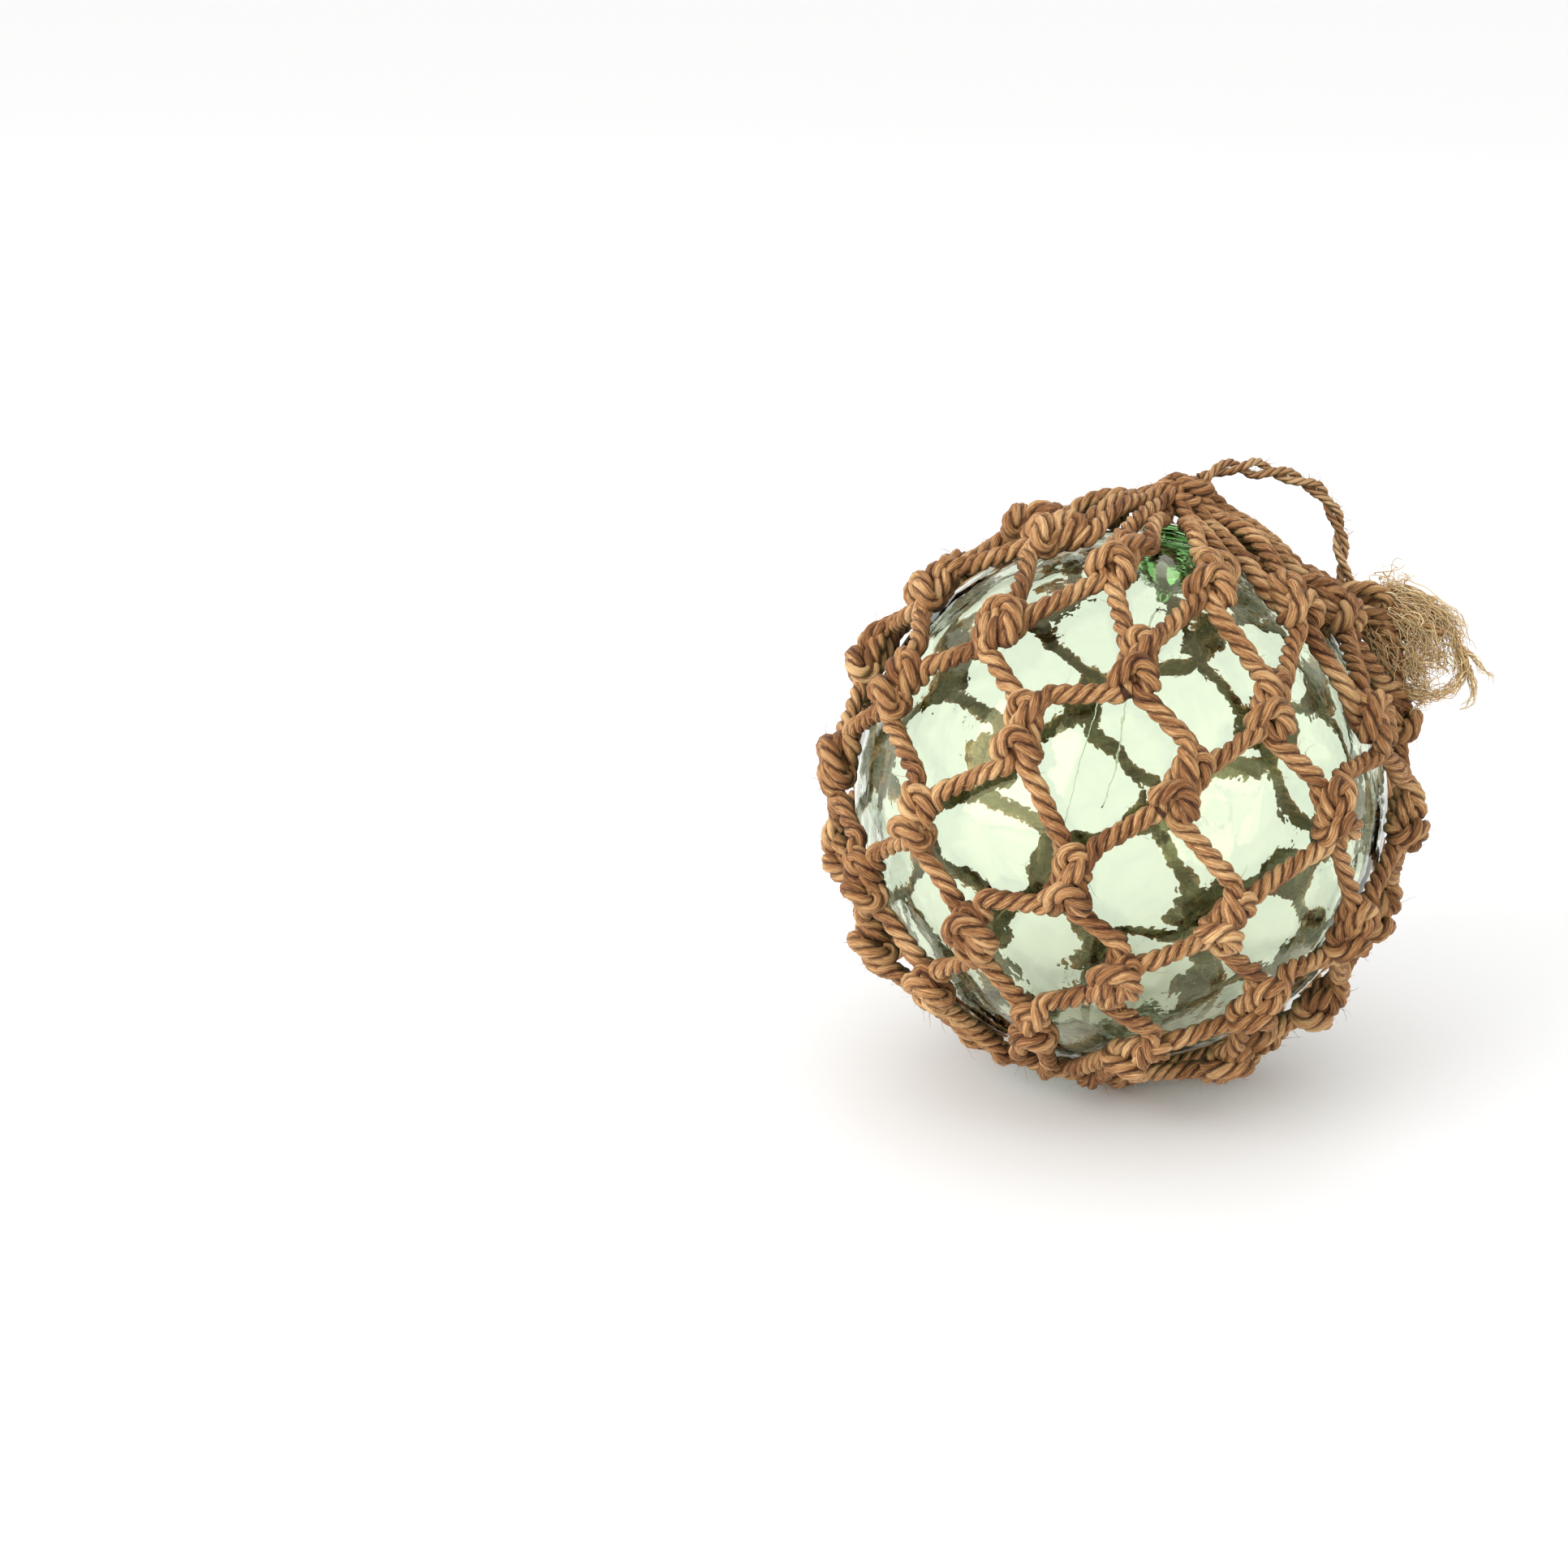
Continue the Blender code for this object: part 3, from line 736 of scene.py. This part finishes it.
class Fibres:
    """Loose fibres gathered into one mesh: three-sided tapered tubes, each a closed body."""

    def __init__(self):
        self.verts = []
        self.faces = []
        self.lay = []

    def add(self, points, radius, noise_place, depth=HAIR_DEPTH):
        first = len(self.verts)
        count = len(points)
        way = (points[1] - points[0]).normalized()
        side = way.orthogonal().normalized()
        for i, point in enumerate(points):
            ahead = points[min(i + 1, count - 1)] - points[max(i - 1, 0)]
            side = (side - ahead * side.dot(ahead) / ahead.length_squared).normalized()
            up = ahead.normalized().cross(side)
            thick = radius * (1 - (1 - FIBRE_TIP) * i / (count - 1))
            for s in range(FIBRE_SIDES):
                turn = tau * s / FIBRE_SIDES
                self.verts.append(point + (side * cos(turn) + up * sin(turn)) * thick)
                self.lay.append((noise_place + NOISE_STEP * i, depth, 0.0))
        for i in range(count - 1):
            low = first + FIBRE_SIDES * i
            for s in range(FIBRE_SIDES):
                t = (s + 1) % FIBRE_SIDES
                self.faces.append((low + s, low + t, low + FIBRE_SIDES + t, low + FIBRE_SIDES + s))
        end = first + FIBRE_SIDES * (count - 1)
        self.faces.append(tuple(first + s for s in reversed(range(FIBRE_SIDES))))
        self.faces.append(tuple(end + s for s in range(FIBRE_SIDES)))


def stray_hairs(routes, diameter, count, longest, random, press=None):
    """Short hairs that stand off a rope, most of them leaning along it."""
    hairs = Fibres()
    points = [(route, i) for route in routes for i in range(1, len(route) - 1)]
    for _ in range(count):
        route, i = random.choice(points)
        place, thickness, _ = route[i]
        way = (route[i + 1][0] - place).normalized() * random.choice((-1, 1))
        off = random_vector(random)
        off = (off - way * off.dot(way)).normalized()
        if off.dot(place.normalized()) < HAIR_LEAST_OUT:
            off = -off
        point = place + off * diameter / 2 * thickness * HAIR_ROOT
        length = longest * (SHORTEST_HAIR + (1 - SHORTEST_HAIR) * random.random() ** LONG_HAIR_RARITY)
        heading = (way * random.uniform(*HAIR_LEANS) + off).normalized()
        curl = random_vector(random, HAIR_CURL)
        made = []
        for _ in range(HAIR_POINTS):
            made.append(press(point) if press else point)
            point = point + heading * length / (HAIR_POINTS - 1)
            heading = (heading + curl * HAIR_BEND).normalized()
        hairs.add(made, HAIR_RADIUS * random.uniform(*HAIR_THICKNESSES), random.uniform(0, NOISE_SPAN))
    return hairs


# Net

def knot_rows():
    """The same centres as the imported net's, with the same stray."""
    random = Random(STRAY_SEED)
    rows = []
    for row, latitude in enumerate(ROW_LATITUDES):
        centres = []
        for k in range(KNOTS_ROUND):
            up = radians(latitude) + random.uniform(-KNOT_STRAY, KNOT_STRAY)
            turn = knot_turn(row, k) + random.uniform(-KNOT_STRAY, KNOT_STRAY)
            centres.append(on_sphere(NET_FRAME, up, turn, KNOT_ORBIT))
        rows.append(centres)
    return rows


class Knot:
    """One tied knot: its axes, which way it slants and which face it shows."""

    def __init__(self, centre, row, k, random):
        self.centre = centre
        self.mirror = -1 if (row + k) % 2 else 1
        slant = random.uniform(-KNOT_SLANT_STRAY, KNOT_SLANT_STRAY) - KNOT_SLANT * self.mirror
        self.axes = upright_frame(centre, NET_AXIS) @ Matrix.Rotation(slant, 3, "Z")
        self.turn_in_front = random.random() < SHARE_IN_FRONT
        self.size = random.uniform(*KNOT_SIZES)

    def place(self, points):
        placed = []
        for x, y, z in points:
            across = x * self.mirror * self.size * KNOT_NARROWING
            along = y * self.size * KNOT_STRETCH
            local = Vector((across, along, z)) * ROPE_DIAMETER
            placed.append((self.centre + self.axes @ local, KNOT_THICKNESS, KNOT_LAY))
        return placed if self.mirror > 0 else placed[::-1]

    def bight(self):
        return self.place(BIGHT_BEHIND if self.turn_in_front else BIGHT_IN_FRONT)

    def turn(self):
        return self.place(TURN_IN_FRONT if self.turn_in_front else TURN_BEHIND)


def leg(start, end, random, lay):
    """Two points on a rope between two knots, which strays a little and stays outside the glass."""
    thickness = random.uniform(*LEG_THICKNESSES)
    made = []
    for share in LEG_SHARES:
        point = start.lerp(end, share)
        stray = Vector([random.uniform(-LEG_STRAY, LEG_STRAY) for _ in range(3)])
        orbit = max(point.length, LEG_ORBIT)
        place = (point + stray).normalized() * orbit
        made.append((place, thickness, lay * random.uniform(*LEG_LAYS)))
    return made


def joined(parts, random, lays):
    """One closed route: the placed parts, with a leg between each and the next."""
    route = []
    for i, part in enumerate(parts):
        following = parts[(i + 1) % len(parts)]
        route += part
        route += leg(part[-1][0], following[0][0], random, lays[i % 2])
    return route


def crown_tip(k, random):
    """The hairpin of a gathered mesh over the crown: it passes the middle and turns back."""
    turn = knot_turn(0, k - 0.5)
    away = NET_FRAME @ Vector((sin(turn), -cos(turn), 0))
    up = CROWN_FRAME.col[2]
    away = (away - up * away.dot(up)).normalized()
    aside = up.cross(away)
    level = (k * HAIRPIN_SKIP % KNOTS_ROUND / (KNOTS_ROUND - 1) - 0.5) * HAIRPIN_LAYERS
    over_loop = OVER_LOOP if k in HAIRPINS_OVER_LOOP else 0.0
    reach = random.uniform(*HAIRPIN_REACHES)
    slip = random.uniform(-HAIRPIN_SLIP, HAIRPIN_SLIP)
    thickness = random.uniform(*HAIRPIN_THICKNESSES)
    made = []
    for across, along, rise in HAIRPIN:
        reached = along * reach if along < 0 else along
        offset = aside * (across + slip) + away * reached + up * (rise + level + over_loop)
        made.append((CROWN + offset * ROPE_DIAMETER, thickness, CROWN_LAY))
    return made


def gathered_leg(start, end, random):
    """A strand of the gathered top, which wanders over its neighbours on its way."""
    thickness = random.uniform(*GATHERED_THICKNESSES)
    lift = random.uniform(*GATHERED_LIFTS)
    sideways = start.cross(end).normalized() * random.uniform(-GATHERED_STRAY, GATHERED_STRAY)
    made = []
    for share in GATHERED_SHARES:
        bow = sin(pi * share)
        point = start.lerp(end, share) + sideways * bow
        orbit = max(point.length + lift * bow, LEG_ORBIT)
        lay = CROWN_LAY * random.uniform(*GATHERED_LAYS)
        made.append((point.normalized() * orbit, thickness, lay))
    return made


def gathered_top(knots, random):
    """The closed route of the top course: through its knots and over the crown between them."""
    tips = [crown_tip(k, random) for k in range(KNOTS_ROUND)]
    route = []
    for k, tip in enumerate(tips):
        turn = knots[k].turn()
        following = tips[(k + 1) % KNOTS_ROUND]
        route += tip + gathered_leg(tip[-1][0], turn[0][0], random) + turn
        route += gathered_leg(turn[-1][0], following[0][0], random)
    return route


def ring_hook(k):
    """The last course hooks over the closing ring from outside and comes back inside it."""
    centre = on_sphere(NET_FRAME, RING_LATITUDE, knot_turn(len(ROW_LATITUDES), k), LEG_ORBIT)
    axes = upright_frame(centre, NET_AXIS)
    return [(centre + axes @ (Vector(point) * ROPE_DIAMETER), HOOK_THICKNESS, KNOT_LAY)
            for point in HOOK]


def course(knots, row, random):
    """The closed route of a course: bights of its own row, and turns of the row below or hooks."""
    last = row == len(knots) - 1
    right = (row + 1) % 2
    parts = []
    for k in range(KNOTS_ROUND):
        below = (k + right) % KNOTS_ROUND
        parts += [knots[row][k].bight(), ring_hook(below) if last else knots[row + 1][below].turn()]
    return joined(parts, random, (TIGHT_LAY, TIGHT_LAY) if last else (LOOSE_LAY, TIGHT_LAY))


def build_net():
    """The whole net, and the routes of its ropes and its material for the hairs on it."""
    random = Random(NET_SEED)
    knots = [[Knot(centre, row, k, random) for k, centre in enumerate(centres)]
             for row, centres in enumerate(knot_rows())]
    ropes = Ropes()
    routes = [ropes.sweep(gathered_top(knots[0], random), True, press_on_ball)]
    for row in range(len(knots)):
        routes.append(ropes.sweep(course(knots, row, random), True, press_on_ball))
    ring = [(on_sphere(NET_FRAME, RING_LATITUDE, tau * i / RING_POINTS, LEG_ORBIT + RING_LIFT),
             RING_THICKNESS, TIGHT_LAY) for i in range(RING_POINTS)]
    routes.append(ropes.sweep(ring, True, press_on_ball))
    rope = fibre_material("net_rope", NET_TONES, NET_GROOVE)
    net = add_mesh("knotted_net", ropes.verts, ropes.faces, [rope], lay=ropes.lay)
    face_outwards(net)
    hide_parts("rope_net", "net_crown", "net_base")
    return routes, rope


def build_net_hairs(routes, rope):
    hairs = stray_hairs(routes, ROPE_DIAMETER, NET_HAIRS, NET_HAIR_LENGTH, Random(NET_HAIR_SEED),
                        press_on_ball)
    hairy = add_mesh("net_hairs", hairs.verts, hairs.faces, [rope], lay=hairs.lay)
    face_outwards(hairy)


# Glass

def sphere_arc(radius, start_rho, rings):
    """Profile points down a sphere from a distance off the axis to the lower pole."""
    start = acos(sqrt(1 - (start_rho / radius) ** 2))
    angles = [start + (pi - start) * i / rings for i in range(rings)]
    return [(radius * sin(angle), radius * cos(angle)) for angle in angles] + [(0, -radius)]


def outer_profile():
    top = GLASS_RADIUS + SEAL_RISE
    face = [(rho, top - drop) for rho, drop in SEAL_FACE]
    foot = [(rho, GLASS_RADIUS - drop) for rho, drop in SEAL_FOOT]
    return face + foot + sphere_arc(GLASS_RADIUS - SKIN_INSET, SEAL_EDGE, GLASS_RINGS)


def inner_profile():
    return list(DROP) + sphere_arc(GLASS_RADIUS - GLASS_WALL, DROP_EDGE, GLASS_RINGS)


def add_turned(shell, profile, wobble, inward):
    """Adds a closed surface turned from a profile that starts and ends on the axis."""
    verts, faces, slots = shell
    first = len(verts)
    verts.append(wobble(CROWN_FRAME @ Vector((0, 0, profile[0][1]))))
    for rho, height in profile[1:-1]:
        for step in range(GLASS_STEPS):
            turn = tau * step / GLASS_STEPS
            verts.append(wobble(CROWN_FRAME @ Vector((rho * cos(turn), rho * sin(turn), height))))
    last = len(verts)
    verts.append(wobble(CROWN_FRAME @ Vector((0, 0, profile[-1][1]))))
    made = []
    rings = len(profile) - 2
    for step in range(GLASS_STEPS):
        beside = (step + 1) % GLASS_STEPS
        made.append((first, first + 1 + step, first + 1 + beside))
        for ring in range(rings - 1):
            low = first + 1 + ring * GLASS_STEPS
            high = low + GLASS_STEPS
            made.append((low + step, high + step, high + beside, low + beside))
        low = first + 1 + (rings - 1) * GLASS_STEPS
        made.append((low + step, last, low + beside))
    for face in made:
        faces.append(face[::-1] if inward else face)
        corner = CROWN_FRAME.transposed() @ verts[face[0]]
        green = corner.z > GREEN_FROM and Vector((corner.x, corner.y)).length < GREEN_WITHIN
        slots.append(1 if green else 0)


def outer_wobble(point):
    """The ball's skin waves inwards a little; the seal button is lumpier."""
    way = point.normalized()
    local = CROWN_FRAME.transposed() @ point
    if local.z > 0 and Vector((local.x, local.y)).length < SEAL_RADIUS:
        return point - way * SEAL_LUMP * (1 + noise.noise(point * SEAL_SCALE))
    slow, quick = SKIN_SCALES
    swell = noise.noise(way * slow + Vector((4, 1, 7))) + 0.5 * noise.noise(way * quick)
    return point - way * SKIN_WAVE * (SKIN_SINK + swell)


def inner_wobble(point):
    """The hollow has slow waves, ridges that run down from the seal, and a fine grain on them."""
    way = point.normalized()
    local = CROWN_FRAME.transposed() @ way
    wave = noise.noise(way * WAVE_SCALE + Vector((9, 2, 3)))
    ridges = noise.noise(Vector([a * b for a, b in zip(local, RIDGE_SCALES)]))
    grain = noise.noise(Vector([a * b for a, b in zip(local, GRAIN_SCALES)]) + Vector((1, 5, 2)))
    return point + way * (HOLLOW_WAVE * wave + HOLLOW_RIDGE * ridges + HOLLOW_GRAIN * grain)


def along_crown(right, back, up):
    return CROWN_FRAME.col[2] * up + CROWN_FRAME.col[0] * right + CROWN_FRAME.col[1] * back


def add_thread(shell, start, end, radius):
    """A thin solid thread of glass inside the hollow, a little bent."""
    verts, faces, slots = shell
    first = len(verts)
    way = (end - start).normalized()
    side = way.orthogonal().normalized()
    up = way.cross(side)
    for i in range(THREAD_STEPS + 1):
        share = i / THREAD_STEPS
        bend = side * THREAD_BENDS[0] * sin(pi * share) + up * THREAD_BENDS[1] * sin(tau * share)
        thick = radius * (THREAD_TAPER[0] - share * THREAD_TAPER[1])
        for s in range(THREAD_SIDES):
            turn = tau * s / THREAD_SIDES
            verts.append(start.lerp(end, share) + bend + (side * cos(turn) + up * sin(turn)) * thick)
    for i in range(THREAD_STEPS):
        low = first + i * THREAD_SIDES
        high = low + THREAD_SIDES
        for s in range(THREAD_SIDES):
            t = (s + 1) % THREAD_SIDES
            faces.append((low + s, low + t, high + t, high + s))
    faces.append(tuple(first + s for s in reversed(range(THREAD_SIDES))))
    faces.append(tuple(first + THREAD_STEPS * THREAD_SIDES + s for s in range(THREAD_SIDES)))
    slots += [0] * (THREAD_STEPS * THREAD_SIDES + 2)


def add_bubbles(shell):
    """Seed bubbles sealed in the glass wall: small hollows, so their faces point into them."""
    verts, faces, slots = shell
    random = Random(BUBBLE_SEED)
    ball = bmesh.new()
    bmesh.ops.create_icosphere(ball, subdivisions=2, radius=1)
    ball.verts.ensure_lookup_table()
    unit = [vert.co.copy() for vert in ball.verts]
    corners = [[vert.index for vert in face.verts] for face in ball.faces]
    ball.free()
    for _ in range(BUBBLES):
        way = random_vector(random).normalized()
        stray = random.uniform(-BUBBLE_STRAY, BUBBLE_STRAY)
        middle = way * (GLASS_RADIUS - GLASS_WALL / 2 + stray)
        size = random.uniform(*BUBBLE_RADII)
        stretch = Matrix.Diagonal((1, 1, random.uniform(*BUBBLE_STRETCHES)))
        first = len(verts)
        verts += [middle + stretch @ point * size for point in unit]
        faces += [tuple(first + i for i in reversed(face)) for face in corners]
        slots += [0] * len(corners)


def build_glass():
    """The hollow ball: its skin, its hollow, and the threads and bubbles in them, as one mesh."""
    shell = ([], [], [])
    add_turned(shell, outer_profile(), outer_wobble, inward=False)
    add_turned(shell, inner_profile(), inner_wobble, inward=True)
    for start, end, radius in THREADS:
        add_thread(shell, along_crown(*start), along_crown(*end), radius)
    add_bubbles(shell)
    verts, faces, slots = shell
    clear = glass_material("clear_glass", CLEAR_TINT, CLEAR_RIPPLE)
    sealed = glass_material("seal_glass", SEAL_TINT, SEAL_RIPPLE)
    glass = add_mesh("glass_ball", verts, faces, [clear, sealed], slots=slots)
    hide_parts("glass_float")


# Cords

def twisted_pair(places):
    """Two thin cords round one route, which lie parted for a stretch near its start."""
    root = (places[0] - Vector(LOOP_ROUTE[0])).length
    side = (places[1] - places[0]).orthogonal().normalized()
    from_parted, to_parted, parting = LOOP_PARTED
    gone = 0.0
    pair = ([], [])
    for i, place in enumerate(places):
        way = (places[min(i + 1, len(places) - 1)] - places[max(i - 1, 0)]).normalized()
        side = (side - way * side.dot(way)).normalized()
        free = (gone - root - from_parted) / (to_parted - from_parted)
        parted = parting * max(0, sin(pi * min(max(free, 0), 1)))
        wide = LOOP_CORD_DIAMETER / 2 * LOOP_CLOSENESS + parted
        turn = -tau * gone / LOOP_TWIST
        out = side * cos(turn) + way.cross(side) * sin(turn)
        for cord, sign in zip(pair, (1, -1)):
            cord.append((place + out * wide * sign, 1.0, LOOP_LAY))
        if i < len(places) - 1:
            gone += (places[i + 1] - place).length
    return pair


def build_loop():
    places = smooth_places(LOOP_ROOT + LOOP_ROUTE)
    cords = Ropes(diameter=LOOP_CORD_DIAMETER)
    routes = [cords.sweep(cord[::2] + cord[-1:], False) for cord in twisted_pair(places)]
    material = fibre_material("loop_cord", LOOP_TONES, LOOP_GROOVE)
    loop = add_mesh("loop_cord", cords.verts, cords.faces, [material], lay=cords.lay)
    face_outwards(loop)

    # The quarter of the loop next to the crown carries no hairs
    haired = [route[len(route) // 4:] for route in routes]
    hairs = stray_hairs(haired, LOOP_CORD_DIAMETER, LOOP_HAIRS, LOOP_HAIR_LENGTH,
                        Random(LOOP_HAIR_SEED))
    hairy = add_mesh("loop_hairs", hairs.verts, hairs.faces, [material], lay=hairs.lay)
    face_outwards(hairy)
    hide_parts("hanging_loop")


def lock_fibre(places, spread_at_start, spread_at_end, curl, random):
    """A curly fibre that keeps to its lock, which opens towards its end."""
    aside = random_vector(random)
    kink = random_vector(random).normalized()
    other = random_vector(random).normalized()
    first = random.uniform(*FIBRE_STARTS)
    last = random.uniform(*FIBRE_ENDS)
    waves = random.uniform(*FIBRE_WAVES)
    phase = random.uniform(0, tau)
    made = []
    for i in range(FIBRE_POINTS):
        share = first + (last - first) * i / (FIBRE_POINTS - 1)
        at = share * (len(places) - 1)
        low = min(floor(at), len(places) - 2)
        place = places[low].lerp(places[low + 1], at - low)
        wave = tau * waves * share + phase
        bend = kink * sin(wave) + other * cos(wave * SECOND_WAVE)
        bend = bend * curl * (FIRST_CURL + (1 - FIRST_CURL) * share)
        crimp = kink * cos(wave * CRIMP_WAVES[0]) + other * sin(wave * CRIMP_WAVES[1])
        spread = spread_at_start + (spread_at_end - spread_at_start) * share
        made.append(place + aside * spread + bend + crimp * CRIMP)
    return made


def build_tail():
    """The knot that ends the loop, its unlaid strands, and hundreds of loose straw-blond fibres."""
    strands = Ropes(diameter=TAIL_DIAMETER)
    for points, thick in TAIL_STRANDS:
        last = len(points) - 1
        controls = []
        for i, point in enumerate(points):
            taper = 1 - TAIL_TAPER * (i / last) ** 3
            controls.append((seen(*point), thick / TAIL_DIAMETER * taper, TAIL_LAY))
        strands.sweep(controls, False)
    random = Random(TAIL_SEED)
    fibres = Fibres()
    for points, count, spread_at_start, spread_at_end, curl in TAIL_LOCKS:
        places = smooth_places([seen(*point) for point in points])
        for _ in range(count):
            fibres.add(lock_fibre(places, spread_at_start, spread_at_end, curl, random),
                       FIBRE_RADIUS * random.uniform(*FIBRE_THICKNESSES),
                       random.uniform(0, NOISE_SPAN), random.uniform(*FIBRE_DEPTHS))
    size = len(strands.verts)
    faces = strands.faces + [tuple(size + i for i in face) for face in fibres.faces]
    slots = [0] * len(strands.faces) + [1] * len(fibres.faces)
    unlaid = fibre_material("unlaid_strand", UNLAID_TONES, UNLAID_GROOVE)
    frayed = fibre_material("frayed_fibre", FRAYED_TONES, FRAYED_GROOVE, FRAYED_SHEEN,
                            FRAYED_BLOTCH)
    tail = add_mesh("frayed_tail", strands.verts + fibres.verts, faces, [unlaid, frayed],
                    slots=slots, lay=strands.lay + fibres.lay)
    face_outwards(tail)
    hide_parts("tail_knot")
    return tail


# Studio

def build_floor():
    bpy.ops.mesh.primitive_circle_add(vertices=FLOOR_SIDES, radius=FLOOR_RADIUS, fill_type="NGON")
    ground = bpy.context.object
    ground.name = "floor"
    pale, _, shader = new_material("pale_floor")
    shader.inputs["Base Color"].default_value = (*FLOOR_COLOUR, 1)
    shader.inputs["Roughness"].default_value = FLOOR_ROUGHNESS
    ground.data.materials.append(pale)


def light_studio():
    world = bpy.data.worlds.new("studio")
    bpy.context.scene.world = world
    world.use_nodes = True
    back = world.node_tree.nodes["Background"]
    back.inputs["Color"].default_value = (*WHITE, 1)
    back.inputs["Strength"].default_value = 1.0
    for name, place, size, power in STUDIO_LIGHTS:
        light = bpy.data.lights.new(name, "AREA")
        light.size = size
        light.energy = power
        lamp = bpy.data.objects.new(name, light)
        lamp.location = place
        lamp.rotation_euler = (Vector(place) - BALL_CENTRE).to_track_quat("Z", "Y").to_euler()
        bpy.context.scene.collection.objects.link(lamp)
    bpy.context.scene.view_settings.view_transform = "Standard"


make_camera()
frayed_tail = build_tail()
build_loop()
net_routes, net_rope = build_net()
build_net_hairs(net_routes, net_rope)
build_glass()
build_floor()
light_studio()
